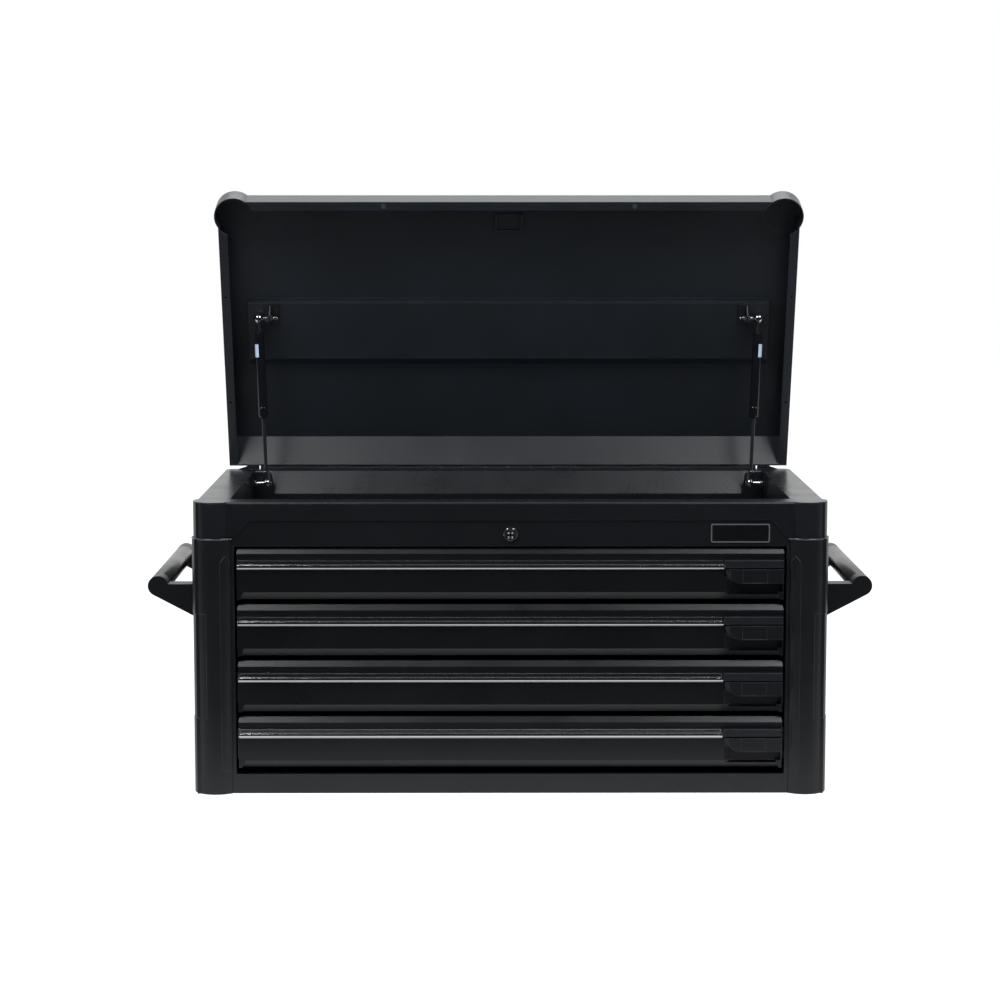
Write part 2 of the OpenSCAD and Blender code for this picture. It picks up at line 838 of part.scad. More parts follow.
module handle_tubes() {
    end = bracket_pitch / 2 + 8;
    color(satin) pair() difference() {
        rod_y(side_x + grip_out, -end, end, grip_z, grip_r);
        rod_y(side_x + grip_out, -end - 1, end + 1, grip_z, grip_r - 1.5);
    }
}

module handle_bolts() {
    high = grip_z - bolt_drop;
    color(zinc) pair() for (y = [-bracket_pitch / 2, bracket_pitch / 2], z = [high - bolt_pitch, high]) {
        rod_x(side_x - sheet - 5, side_x - sheet, y, z, 6.5, $fn = 6);
    }
}

// ---------- hinge ----------

hinge_x0 = -knuckles * knuckle_len / 2;

module knuckle_row(first) {
    for (k = [first:2:knuckles - 1])
        rod_x(hinge_x0 + k * knuckle_len + 0.15, hinge_x0 + (k + 1) * knuckle_len - 0.15, hinge_y, hinge_z, knuckle_r);
}

module hinge_bore() {
    rod_x(hinge_x0 - 1, -hinge_x0 + 1, hinge_y, hinge_z, pin_r + 0.05);
}

module hinge_case_leaf() {
    color(zinc) difference() {
        union() {
            knuckle_row(0);
            box([hinge_x0, back_y, hinge_z - leaf_h], [-hinge_x0, back_y + 1.2, hinge_z - knuckle_r - 0.5]);
            for (k = [0:2:knuckles - 1]) {
                x = hinge_x0 + k * knuckle_len + 0.15;
                box([x, back_y, hinge_z - knuckle_r - 1], [x + knuckle_len - 0.3, back_y + 1.2, hinge_z]);
            }
        }
        hinge_bore();
    }
}

module hinge_pin() {
    color(zinc) rod_x(hinge_x0, -hinge_x0, hinge_y, hinge_z, pin_r);
}

// Puts what is written in the lid's closed position where it is when open
module lid_pose() {
    translate([0, hinge_y, hinge_z]) rotate([-lid_open, 0, 0]) translate([0, -hinge_y, -hinge_z]) children();
}

// ---------- lid ----------

slope_a = atan2(lid_h, lid_slope);

// Section of the lid in Y and Z, set in by t from the outer skin
module lid_section(t) {
    r = 6;
    inner = t > 0 ? 1 : 0;
    run = t / sin(slope_a);
    translate([0, lid_z - inner * 2]) polygon([
        [back_y - run + inner * 2 / tan(slope_a), 0],
        [back_y - run - (lid_h - t) / tan(slope_a), lid_h - t + inner * 2],
        [front_y + t + r, lid_h - t + inner * 2], [front_y + t + r, 0]
    ]);
    translate([front_y + t, lid_z - inner * 2]) square([r + 1, lid_h - r - t + inner * 2]);
    translate([front_y + t + r, lid_top - t - r]) circle(r);
}

// Plan of a lip, w wide along X and l long along Y, its corners at X = 0 rounded
module lip_plan(w, l, r) {
    translate([0, r]) square([w, l - 2 * r]);
    translate([r, 0]) square([w - r, l]);
    for (y = [r, l - r]) translate([r, y]) circle(r);
}

module lid_lips() {
    w = lid_lip - sheet / 2;
    side_y = post_y + cap_side_dy + 1;
    front_x1 = cap_x - cap_front_dx - 1;
    pair() translate([lid_x - lid_lip, side_y]) lip_plan(w, back_y - 3 - side_y, 6);
    translate([-front_x1, front_y + lid_lip]) rotate(-90) lip_plan(w, 2 * front_x1, 6);
}

module lid_shell() {
    color(powder) lid_pose() difference() {
        union() {
            difference() {
                along_x(-lid_x, lid_x) lid_section(0);
                along_x(-lid_x + sheet, lid_x - sheet) lid_section(sheet);
            }
            translate([0, 0, lid_z]) linear_extrude(sheet) lid_lips();
        }
        pair() {
            translate([cap_x, post_y, lid_z - 1]) cylinder(h = lid_h + 2, r = post_r + touch);
            box([cap_x, front_y - 1, lid_z - 1], [lid_x + 1, post_y, lid_top + 1]);
            for (run = lip_holes)
                translate([lid_x - lid_lip / 2, back_y - run, lid_z - 1]) cylinder(h = sheet + 2, r = lip_hole_r);
        }
    }
}

// Half section of a round cap with a rounded upper edge
module cap_profile(r, h, e) {
    square([r - e, h]);
    square([r, h - e]);
    translate([r - e, h - e]) circle(e);
}

// The rolled corners are open towards the inside of the lid
module lid_corner_caps() {
    e = 3;
    from = acos((lid_x - sheet - cap_x) / post_r);
    to = 180 + asin((post_y - front_y - sheet) / post_r);
    color(moulded) lid_pose() pair() translate([cap_x, post_y, lid_z]) difference() {
        rotate_extrude() cap_profile(post_r, lid_h, e);
        translate([0, 0, -1]) rotate_extrude() cap_profile(post_r - cap_wall, lid_h - cap_wall + 1, 1);
        translate([0, 0, -1]) linear_extrude(lid_h - cap_wall + 1) polygon(concat([[0, 0]], [
            for (k = [0:6]) 2 * post_r * [cos(from + (to - from) * k / 6), sin(from + (to - from) * k / 6)]
        ]));
    }
}

// The channel is a folded sheet with a flange at each edge and a slanted rear wall
module lid_channel() {
    top = lid_top - sheet;
    face = top - channel_h;
    y0 = back_y - channel_front;
    y1 = back_y - channel_rear;
    flange = 5;
    slope = channel_foot / (channel_h - sheet);
    across = sheet * norm([channel_foot, channel_h - sheet]) / (channel_h - sheet);
    color(powder) lid_pose() along_x(-channel_x, channel_x) difference() {
        polygon([
            [y0 - flange, top - sheet], [y0, top - sheet], [y0, face], [y1, face], [y1 + channel_foot, top - sheet],
            [y1 + channel_foot + flange, top - sheet], [y1 + channel_foot + flange, top], [y0 - flange, top]
        ]);
        polygon([
            [y0 + sheet, top + 1], [y0 + sheet, face + sheet], [y1 + sheet * slope - across, face + sheet],
            [y1 + (channel_h + 1) * slope - across, top + 1]
        ]);
    }
}

module strut_lid_brackets() {
    face = lid_top - sheet - channel_h;
    px = up_x - stud_reach;
    nut_r = 6;
    stud_r = 3.5;
    color(powder) lid_pose() pair() {
        difference() {
            along_x(px - 1, px + 1) polygon([
                [up_y - 20, face], [up_y - 6, up_z - 5], [up_y + 6, up_z - 5], [up_y + 14, face]
            ]);
            rod_x(px - 2, px + 2, up_y, up_z, stud_r);
        }
        box([px - 14, up_y - 20, face - 2], [px + 1, up_y + 14, face]);
        rod_x(px - 12.5, up_x - socket_r - 0.3, up_y, up_z, stud_r);
        rod_x(px + 1, px + 5, up_y, up_z, nut_r, $fn = 6);
        rod_x(px - 5, px - 1, up_y, up_z, nut_r, $fn = 6);
    }
}

// Plan of a tongue, w wide and l long from the origin along Y, its far corners rounded
module tongue(w, l, r) {
    translate([-w / 2, 0]) square([w, l - r]);
    translate([-w / 2 + r, 0]) square([w - 2 * r, l]);
    for (s = [-1, 1]) translate([s * (w / 2 - r), l - r]) circle(r);
}

module lid_striker() {
    wall = 1.6;
    rim = 6;
    panel = lid_top - sheet;
    color(powder) lid_pose() translate([0, front_y + striker_in, panel - rim]) difference() {
        linear_extrude(rim) tongue(striker_w, striker_len, rim);
        translate([0, -1, -1]) linear_extrude(rim - 1) tongue(striker_w - 2 * wall, striker_len - wall + 1, rim - wall);
    }
}

module lid_bumpers() {
    color(rubber) lid_pose() for (s = [-1, 1])
        translate([s * (lid_x - bumper_in), front_y + lid_lip / 2, lid_z - 0.7]) cylinder(h = 0.7, r = 3.8);
}

// Section in Y and Z of the lid's leaf, with the curl that covers the knuckles
module hinge_lid_section(leaf_t, leaf) {
    inner = knuckle_r + 0.3;
    difference() {
        union() {
            translate([hinge_y, hinge_z]) intersection() {
                circle(inner + 1);
                polygon(concat([[0, 0]], [for (a = [100:14:156]) 2 * knuckle_r * [cos(a), sin(a)]]));
            }
            translate([back_y, lid_z]) rotate(90 - slope_a) translate([touch, 0]) square([leaf_t - touch, leaf]);
        }
        translate([hinge_y, hinge_z]) circle(inner);
    }
}

module hinge_lid_leaf() {
    leaf = 22;
    leaf_t = 1.2;
    color(zinc) lid_pose() difference() {
        union() {
            knuckle_row(1);
            along_x(hinge_x0, -hinge_x0) hinge_lid_section(leaf_t, leaf);
            for (k = [1:2:knuckles - 1]) {
                x = hinge_x0 + k * knuckle_len + 1;
                translate([0, back_y, lid_z]) rotate([90 - slope_a, 0, 0])
                    box([x, touch, -2], [x + knuckle_len - 2, leaf_t, 6]);
            }
        }
        hinge_bore();
    }
}

// ---------- gas struts ----------

// Stands children, drawn upright from the lower stud, along the open strut
module strut_pose() {
    translate([low_x, low_y, low_z]) rotate([-strut_lean, 0, 0]) rotate([0, strut_tilt, 0]) children();
}

// Points children, drawn upright, from the lower stud's ball along the axis of the swing
module swing_pose() {
    translate([low_x, low_y, low_z]) rotate([0, acos(swing_axis.z), atan2(swing_axis.y, swing_axis.x)]) children();
}

module strut_rod() {
    neck_r = 4.8;
    rod_top = tube_foot + rod_in;
    color(zinc) strut_pose() {
        difference() {
            sphere(socket_r);
            sphere(ball_r + 0.3);
            box([0.5, -socket_r, -socket_r], [socket_r, socket_r, socket_r]);
        }
        translate([0, 0, socket_r - 1]) cylinder(h = rod_fit - socket_r + 1, r = neck_r);
        translate([0, 0, socket_r]) cylinder(h = rod_top - socket_r, r = rod_r);
    }
}

module strut_cylinder() {
    neck_r = 3.6;
    foot_r = 4;
    bore = rod_r + 0.05;
    color(satin) strut_pose() {
        difference() {
            union() {
                translate([0, 0, tube_foot + foot_r]) cylinder(h = tube_len - foot_r, r = strut_r);
                translate([0, 0, tube_foot + foot_r]) mirror([0, 0, 1]) rotate_extrude() cap_profile(strut_r, foot_r, foot_r - 0.5);
            }
            translate([0, 0, tube_foot - 1]) cylinder(h = tube_len - 4, r = bore);
        }
        translate([0, 0, tube_top - 1]) cylinder(h = tube_fit - socket_r + 2, r = neck_r);
        translate([0, 0, strut_len]) sphere(socket_r);
    }
}

module strut_rod_right() { strut_rod(); }
module strut_rod_left() { mirror([1, 0, 0]) strut_rod(); }
module strut_cylinder_right() { strut_cylinder(); }
module strut_cylinder_left() { mirror([1, 0, 0]) strut_cylinder(); }

module strut_case_brackets() {
    plate_t = 2;
    stud_len = (stud_low_out - plate_t / 2) / swing_axis.x;
    color(zinc) pair() {
        box([till_x - plate_t, low_y - 18, low_z - 16], [till_x, low_y + 18, low_z + 10]);
        swing_pose() cylinder(h = stud_len, r = 3.5);
        swing_pose() translate([0, 0, stud_len - 7]) cylinder(h = 5, r = 6, $fn = 6);
        translate([low_x, low_y, low_z]) sphere(ball_r);
    }
}

side_panel_left();
side_panel_right();
back_panel();
base_panel();
rim_frame();
fascia();
bottom_rail();
till_floor();
corner_sleeves();
slide_uprights();
slide_channels();
name_plate();
handle_tubes();
handle_brackets();
handle_bolts();
hinge_case_leaf();
hinge_pin();
strut_case_brackets();
lock_housing();
lock_plug();
lock_cam();
lid_shell();
lid_corner_caps();
lid_channel();
strut_lid_brackets();
lid_striker();
lid_bumpers();
hinge_lid_leaf();
strut_rod_left();
strut_rod_right();
strut_cylinder_left();
strut_cylinder_right();
for (i = [1:drawers]) {
    drawer_tray(i);
    drawer_front(i);
    drawer_trim(i);
    drawer_latch_hood(i);
    drawer_lever(i);
    drawer_slides(i);
    drawer_mid_slides(i);
}
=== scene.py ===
"""Looks of the machinist tool chest: materials, fine pieces, stage, light and camera.

The solids come packed from CAD and stay as they are. Everything is in metres in the CAD frame: origin at
the centre of the base, +X to the right, -Y to the front, +Z up, with the lid open.
"""

import math

import bmesh
import bpy
from mathutils import Matrix, Vector


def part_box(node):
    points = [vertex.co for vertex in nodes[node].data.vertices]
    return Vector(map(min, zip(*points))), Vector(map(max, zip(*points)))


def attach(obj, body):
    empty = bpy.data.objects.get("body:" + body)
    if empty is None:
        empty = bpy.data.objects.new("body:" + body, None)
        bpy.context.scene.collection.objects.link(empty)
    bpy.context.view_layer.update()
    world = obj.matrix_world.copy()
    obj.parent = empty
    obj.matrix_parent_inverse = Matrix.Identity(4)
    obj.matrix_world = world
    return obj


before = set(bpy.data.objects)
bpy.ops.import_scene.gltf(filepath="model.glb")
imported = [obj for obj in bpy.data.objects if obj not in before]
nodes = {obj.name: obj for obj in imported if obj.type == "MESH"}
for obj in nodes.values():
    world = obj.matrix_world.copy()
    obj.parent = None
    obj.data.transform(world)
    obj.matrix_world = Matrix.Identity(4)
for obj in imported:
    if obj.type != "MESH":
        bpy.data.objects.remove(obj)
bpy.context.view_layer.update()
MM = 0.001
SIDES = {"left": -1.0, "right": 1.0}
DRAWERS = range(1, 5)


# ---------- places on the CAD solids ----------

# the lid turns by this angle from closed to open, about a line at the height of the case's top
LID_ANGLE = math.radians(71.5)
HINGE_Y, HINGE_Z = 0.2278, 0.4283
# lower edge of the closed lid
LID_Z = 0.4293
# the outside of the lid's front wall lies beyond this, measured backwards from the hinge along the lid
LID_FRONT = -0.45

# step from drawer to drawer, and the lower edges of the top and the bottom drawer's fronts
DRAWER_PITCH = 0.0827
TOP_DRAWER_FOOT = 0.2862
DRAWER_FOOT = TOP_DRAWER_FOOT - 3 * DRAWER_PITCH
# the finger hollow under a latch hood, whose paint is darkened as painted shade:
# heights over a drawer's foot, left end, and where its depth starts
HOLLOW_LOW, HOLLOW_HIGH = 0.0112, 0.0345
HOLLOW_LEFT, HOLLOW_FRONT = 0.298, -0.2231

# centres of the right strut's two balls with the lid open
STRUT_LOW = Vector((384.0, 149.5, 413.3)) * MM
STRUT_HIGH = Vector((395.5, 163.707, 673.43)) * MM
# the strut's tube, whose end fitting reaches to the high ball, and its two ends as distances from the low ball
TUBE_FITTING, TUBE_LENGTH, TUBE_R = 0.023, 0.134, 0.0075
TUBE_TOP = (STRUT_HIGH - STRUT_LOW).length - TUBE_FITTING
TUBE_FOOT = TUBE_TOP - TUBE_LENGTH
# the end fittings are bright: the rod's up to ROD_END, and the tube's from TUBE_END
ROD_END, TUBE_END = 0.0195, TUBE_TOP + 0.0005
# the lid stud is bright within this radius, but for the plate that carries it
LID_STUD_R = 0.0064
LID_PLATE_NEAR, LID_PLATE_FAR = 0.37645, 0.37855
# the case stud is bright up to the plate that carries it
CASE_PLATE = 0.40545
# only the raised outline of the name plate lies in front of this
PLATE_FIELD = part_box("name_plate")[0][1] + 0.0003

# half the till's width and its back
TILL_X, TILL_BACK = 0.4073, 0.204
# the till's rear fold leans forward by FOLD_RUN over its height
FOLD_RUN, FOLD_HEIGHT = 0.022, 0.036
FOLD_FOOT_Y, FOLD_FOOT_Z = TILL_BACK - FOLD_RUN, HINGE_Z - FOLD_HEIGHT


# ---------- shader nodes ----------

# a noise stays between these values over most of a surface
NOISE_LOW, NOISE_HIGH = 0.3, 0.7
GRAIN_HEIGHT = 0.0001
# how far the rounded normal agrees with the face's own where the painted edge highlight starts and where it is
# full
EDGE_LIGHT_START, EDGE_LIGHT_FULL = 0.995, 0.85
# the photo's blacks lean to blue
TINT = (0.8, 1.0, 1.32)


def add(tree, kind, inputs=None, **settings):
    """New shader node. inputs maps its sockets, by name or number, to outputs or plain values."""
    node = tree.nodes.new("ShaderNode" + kind)
    for name, value in settings.items():
        setattr(node, name, value)
    for key, value in (inputs or {}).items():
        if isinstance(value, bpy.types.NodeSocket):
            tree.links.new(value, node.inputs[key])
        else:
            node.inputs[key].default_value = value
    return node


def blank_tree(owner):
    """Emptied node tree of a new material or world."""
    owner.use_nodes = True
    owner.node_tree.nodes.clear()
    return owner.node_tree


def principled(name):
    mat = bpy.data.materials.new(name)
    tree = blank_tree(mat)
    bsdf = add(tree, "BsdfPrincipled")
    add(tree, "OutputMaterial", {"Surface": bsdf.outputs["BSDF"]})
    return mat, tree, bsdf


def calc(tree, operation, *values):
    """Result of a sum on numbers or outputs."""
    return add(tree, "Math", dict(enumerate(values)), operation=operation).outputs[0]


def vector_calc(tree, operation, *values):
    """Result of a sum on vectors; a dot product or a length is a number."""
    node = add(tree, "VectorMath", dict(enumerate(values)), operation=operation)
    return node.outputs["Value" if operation in ("DOT_PRODUCT", "LENGTH") else "Vector"]


def object_point(tree):
    return add(tree, "TexCoord").outputs["Object"]


def noise(tree, scale, detail, rough, stretch=(1, 1, 1)):
    place = add(tree, "Mapping", {"Vector": object_point(tree), "Scale": stretch}).outputs["Vector"]
    settings = {"Vector": place, "Scale": scale, "Detail": detail, "Roughness": rough}
    return add(tree, "TexNoise", settings).outputs["Fac"]


def ramp(tree, source, dark, light):
    """Colour that runs from dark to light with a noise."""
    node = add(tree, "ValToRGB", {"Fac": source})
    low, high = node.color_ramp.elements
    low.position, low.color = NOISE_LOW, dark
    high.position, high.color = NOISE_HIGH, light
    return node.outputs["Color"]


def spread(tree, source, low, high):
    """Number that runs from low to high with a noise."""
    settings = {"Value": source, "From Min": NOISE_LOW, "From Max": NOISE_HIGH, "To Min": low, "To Max": high}
    return add(tree, "MapRange", settings).outputs["Result"]


def fade(tree, source, start, end, dim, bright):
    """Number that rises softly from dim to bright as source goes from start to end."""
    settings = {"Value": source, "From Min": start, "From Max": end, "To Min": dim, "To Max": bright}
    return add(tree, "MapRange", settings, interpolation_type="SMOOTHSTEP").outputs["Result"]


def blend_colour(tree, factor, first, second):
    return add(tree, "Mix", {0: factor, 6: first, 7: second}, data_type="RGBA").outputs[2]


def blend_number(tree, factor, first, second):
    return add(tree, "Mix", {0: factor, 2: first, 3: second}, data_type="FLOAT").outputs[0]


def surface_normal(tree, bsdf, edge, grain, strength):
    """Fine grain over edges rounded by the bevel shader. Returns the rounded normal, or None without edge."""
    bump = {"Strength": strength, "Distance": GRAIN_HEIGHT, "Height": grain}
    rounded = None
    if edge:
        rounded = bump["Normal"] = add(tree, "Bevel", {"Radius": edge}, samples=4).outputs["Normal"]
    tree.links.new(add(tree, "Bump", bump).outputs["Normal"], bsdf.inputs["Normal"])
    return rounded


def edge_mask(tree, rounded, breakup):
    """1 along the edges, 0 on the faces, thinned out by a noise."""
    facing = vector_calc(tree, "DOT_PRODUCT", add(tree, "NewGeometry").outputs["Normal"], rounded)
    near = add(tree, "MapRange", {"Value": facing, "From Min": EDGE_LIGHT_START, "From Max": EDGE_LIGHT_FULL})
    return calc(tree, "MULTIPLY", near.outputs["Result"], spread(tree, breakup, 0.55, 1.0))


def seen_by(tree, camera, glossy, rest):
    """One shader for camera rays, one for glossy and transmission rays and one for all the rest."""
    path = add(tree, "LightPath").outputs
    mirrored = calc(tree, "MAXIMUM", path["Is Glossy Ray"], path["Is Transmission Ray"])
    unseen = add(tree, "MixShader", {0: mirrored, 1: rest, 2: glossy}).outputs[0]
    return add(tree, "MixShader", {0: path["Is Camera Ray"], 1: unseen, 2: camera}).outputs[0]


# ---------- masks: 1 in one part of a surface and 0 elsewhere ----------


def above(tree, value, edge):
    return calc(tree, "GREATER_THAN", value, edge)


def below(tree, value, edge):
    return calc(tree, "LESS_THAN", value, edge)


def both(tree, first, second):
    return calc(tree, "MULTIPLY", first, second)


def axis_part(tree, axis):
    return add(tree, "SeparateXYZ", {0: object_point(tree)}).outputs[axis]


def off_middle(tree):
    """Distance from the middle plane of the chest."""
    return calc(tree, "ABSOLUTE", axis_part(tree, 0))


def along(tree, start, direction):
    """Distance from start along a direction."""
    return vector_calc(tree, "DOT_PRODUCT", vector_calc(tree, "SUBTRACT", object_point(tree), start), direction)


def off_x_axis(tree, y, z):
    """Distance from a line along X."""
    shift = vector_calc(tree, "SUBTRACT", object_point(tree), (0, y, z))
    return vector_calc(tree, "LENGTH", vector_calc(tree, "MULTIPLY", shift, (0, 1, 1)))


def lid_front_mask(tree):
    """Outside of the lid's front wall, which is the top edge of the open lid."""
    backward = (0, math.cos(LID_ANGLE), -math.sin(LID_ANGLE))
    return below(tree, along(tree, (0, HINGE_Y, HINGE_Z), backward), LID_FRONT)


def hollow_shade_mask(tree):
    """Inside of the finger hollows of the drawer fronts, where the paint is darkened as painted shade."""
    x, y, z = (axis_part(tree, k) for k in range(3))
    height = calc(tree, "FLOORED_MODULO", calc(tree, "SUBTRACT", z, DRAWER_FOOT), DRAWER_PITCH)
    band = both(tree, above(tree, height, HOLLOW_LOW), below(tree, height, HOLLOW_HIGH))
    return both(tree, band, both(tree, above(tree, x, HOLLOW_LEFT), above(tree, y, HOLLOW_FRONT)))


def lid_stud_mask(tree):
    near = below(tree, off_x_axis(tree, STRUT_HIGH.y, STRUT_HIGH.z), LID_STUD_R)
    x = off_middle(tree)
    on_plate = both(tree, above(tree, x, LID_PLATE_NEAR), below(tree, x, LID_PLATE_FAR))
    return both(tree, near, calc(tree, "SUBTRACT", 1.0, on_plate))


def case_stud_mask(tree):
    return below(tree, off_middle(tree), CASE_PLATE)


def plate_frame_mask(tree):
    return below(tree, axis_part(tree, 1), PLATE_FIELD)


# ---------- finishes ----------


def grey(value):
    return (value, value, value, 1)


def tinted(value):
    return (*(value * t for t in TINT), 1)


def painted(name, value, rough, edge=0.0012, grain_scale=900, strength=0.12, specular=0.5, edge_light=3.0, inside=None):
    """Powder coat or moulded black of a grey value: cloudy, with orange peel and soft edges painted paler, a
    painted highlight.

    The edges are painted at a multiple of value: above 1 a painted highlight, below 1 a painted shade.
    inside = (mask, shade, roughness) gives the masked part a shade, again as a multiple of value, and a roughness
    of its own.
    """
    mat, tree, bsdf = principled(name)
    cloud = noise(tree, scale=7.0, detail=4.0, rough=0.6)
    patch = noise(tree, scale=16.0, detail=5.0, rough=0.6)
    peel = noise(tree, grain_scale, detail=2.0, rough=0.5)
    body = ramp(tree, cloud, tinted(value * 0.88), tinted(value * 1.12))
    gloss = spread(tree, patch, rough - 0.03, rough + 0.04)
    bsdf.inputs["Specular IOR Level"].default_value = specular
    rounded = surface_normal(tree, bsdf, edge, peel, strength)
    # the edges are painted paler than the faces: a painted highlight along them
    if rounded is not None:
        body = blend_colour(tree, edge_mask(tree, rounded, patch), body, tinted(value * edge_light))
    if inside:
        where, shade, inner_rough = inside
        mask = where(tree)
        body = blend_colour(tree, mask, body, tinted(value * shade))
        gloss = blend_number(tree, mask, gloss, inner_rough)
    tree.links.new(body, bsdf.inputs["Base Color"])
    tree.links.new(gloss, bsdf.inputs["Roughness"])
    return mat


def metal(name, dark, light, rough, brushed=(1, 1, 1), scale=300, edge=0.0006):
    """Bare metal, streaky between two colours; brushed stretches the streaks along an axis."""
    mat, tree, bsdf = principled(name)
    streak = noise(tree, scale, detail=3.0, rough=0.6, stretch=brushed)
    tree.links.new(ramp(tree, streak, (*dark, 1), (*light, 1)), bsdf.inputs["Base Color"])
    tree.links.new(spread(tree, streak, rough * 0.8, rough * 1.25), bsdf.inputs["Roughness"])
    bsdf.inputs["Metallic"].default_value = 1.0
    surface_normal(tree, bsdf, edge, streak, strength=0.05)
    return mat


def part_bright(name, where, paint, bright, edge=0.0005, metallic=True):
    """Black paint that is bright, and bare metal if metallic, where the mask is 1.

    paint and bright are pairs of a shade and a roughness.
    """
    mat, tree, bsdf = principled(name)
    mask = where(tree)
    (dull, dull_rough), (shiny, shiny_rough) = paint, bright
    cloud = noise(tree, scale=40.0, detail=4.0, rough=0.6)
    streak = noise(tree, scale=500.0, detail=3.0, rough=0.6)
    black = ramp(tree, cloud, tinted(dull * 0.85), tinted(dull * 1.15))
    silver = ramp(tree, streak, grey(shiny * 0.9), grey(shiny * 1.05))
    tree.links.new(blend_colour(tree, mask, black, silver), bsdf.inputs["Base Color"])
    if metallic:
        tree.links.new(mask, bsdf.inputs["Metallic"])
    dull_gloss = spread(tree, cloud, dull_rough * 0.9, dull_rough * 1.1)
    shiny_gloss = spread(tree, streak, shiny_rough * 0.85, shiny_rough * 1.15)
    tree.links.new(blend_number(tree, mask, dull_gloss, shiny_gloss), bsdf.inputs["Roughness"])
    surface_normal(tree, bsdf, edge, streak, strength=0.03)
    return mat


# the open lid and its caps get a lighter grey than the case and the sleeves: painted light for the brighter look
# of the open lid
lid_powder = painted("lid_powder", 0.0165, 0.34, inside=(lid_front_mask, 1.0, 0.44))
cap_black = painted("cap_black", 0.0155, 0.36, edge=None)
body_powder = painted("body_powder", 0.0095, 0.34)
rim_powder = painted("rim_powder", 0.0095, 0.28, grain_scale=500, strength=0.015)
front_powder = painted("front_powder", 0.0076, 0.32, edge=0.0009)
# the drawer paint is darker inside the finger hollows: painted shade in the recesses
drawer_powder = painted("drawer_powder", 0.0056, 0.3, edge=0.0009, inside=(hollow_shade_mask, 0.35, 0.6))
satin = painted("satin_paint", 0.0055, 0.28, edge=0.0006, strength=0.05)
moulded = painted("moulded", 0.0074, 0.4, edge=0.0013, grain_scale=1400, strength=0.2, edge_light=6.0)
hood_black = painted("hood_black", 0.0105, 0.38, edge=0.0009, grain_scale=1400, strength=0.2, edge_light=5.0)
lever_black = painted("lever_black", 0.0062, 0.38, edge=0.0009, grain_scale=1400, strength=0.2, edge_light=8.0)
grip_satin = painted("grip_satin", 0.0065, 0.28, edge=None, grain_scale=1200, strength=0.01, specular=0.8)
# the bead along the sleeves' top edge is much lighter than their own black: a painted highlight on top of its
# gloss
bead_highlight = painted("bead_highlight", 0.05, 0.2, edge=None, strength=0.02, specular=0.9)
hinge_black = painted("hinge_black", 0.008, 0.6, edge=0.0005, specular=0.25)
rubber = painted("bumper_rubber", 0.04, 0.6, edge=0.0003, edge_light=1.3)
label_paper = painted("label_paper", 0.62, 0.5, edge=0.0002, grain_scale=3000, strength=0.05, edge_light=0.9)
zinc = metal("zinc_steel", (0.3, 0.3, 0.31), (0.42, 0.42, 0.44), 0.38, scale=120)
chrome = metal("bright_chrome", (0.62, 0.62, 0.64), (0.7, 0.7, 0.72), 0.12, brushed=(0.05, 1, 1), scale=900)
pin_steel = metal("pin_steel", (0.82, 0.82, 0.84), (0.9, 0.9, 0.92), 0.42, scale=900)
lid_stud = part_bright("lid_stud_finish", lid_stud_mask, (0.0095, 0.36), (0.6, 0.2))
case_stud = part_bright("case_stud_finish", case_stud_mask, (0.0095, 0.36), (0.6, 0.2))
plate_finish = part_bright("plate_finish", plate_frame_mask, (0.0042, 0.3), (0.085, 0.45), edge=0.0002,
                           metallic=False)


def strut_line(side):
    """Ball of the lower stud and the direction of the open strut on one side."""
    flip = Vector((SIDES[side], 1, 1))
    low = STRUT_LOW * flip
    return low, (STRUT_HIGH * flip - low).normalized()


def strut_finishes(side):
    """Black rod and cylinder with bright end fittings."""
    line = strut_line(side)

    def rod_mask(tree):
        return below(tree, along(tree, *line), ROD_END)

    def tube_mask(tree):
        return above(tree, along(tree, *line), TUBE_END)

    rod = part_bright(f"strut_rod_{side}_finish", rod_mask, (0.02, 0.16), (0.62, 0.16))
    tube = part_bright(f"strut_tube_{side}_finish", tube_mask, (0.006, 0.2), (0.62, 0.16))
    return rod, tube


LOOKS = {
    "side_panel_left": body_powder, "side_panel_right": body_powder, "back_panel": body_powder,
    "base_panel": body_powder, "rim_frame": rim_powder, "fascia": front_powder, "bottom_rail": front_powder,
    "till_floor": body_powder, "corner_sleeves": moulded, "slide_uprights": body_powder,
    "slide_channels": zinc, "name_plate": plate_finish, "handle_tubes": satin, "handle_brackets": moulded,
    "handle_bolts": zinc, "hinge_case_leaf": hinge_black, "hinge_pin": zinc, "strut_case_brackets": case_stud,
    "lock_housing": chrome, "lock_plug": satin, "lock_cam": zinc, "lid_shell": lid_powder,
    "lid_corner_caps": cap_black, "lid_channel": lid_powder, "strut_lid_brackets": lid_stud,
    "lid_striker": lid_powder, "lid_bumpers": rubber, "hinge_lid_leaf": hinge_black,
}
DRAWER_LOOKS = {
    "tray": body_powder, "front": drawer_powder, "trim": chrome, "latch_hood": hood_black,
    "lever": lever_black, "slides": zinc, "mid_slides": zinc,
}
for side in SIDES:
    LOOKS[f"strut_rod_{side}"], LOOKS[f"strut_cylinder_{side}"] = strut_finishes(side)
for n in DRAWERS:
    for part, look in DRAWER_LOOKS.items():
        LOOKS[f"drawer_{n}_{part}"] = look

for name, obj in nodes.items():
    obj.data.materials.clear()
    obj.data.materials.append(LOOKS[name])


# ---------- building of fine pieces ----------


def piece(name, body, mat, build):
    """A mesh piece that rides on a body; build(bm) fills it in, in metres."""
    mesh = bpy.data.meshes.new(name)
    bm = bmesh.new()
    build(bm)
    bmesh.ops.recalc_face_normals(bm, faces=bm.faces)
    bm.to_mesh(mesh)
    bm.free()
    mesh.materials.append(mat)
    obj = bpy.data.objects.new(name, mesh)
    bpy.context.scene.collection.objects.link(obj)
    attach(obj, body)


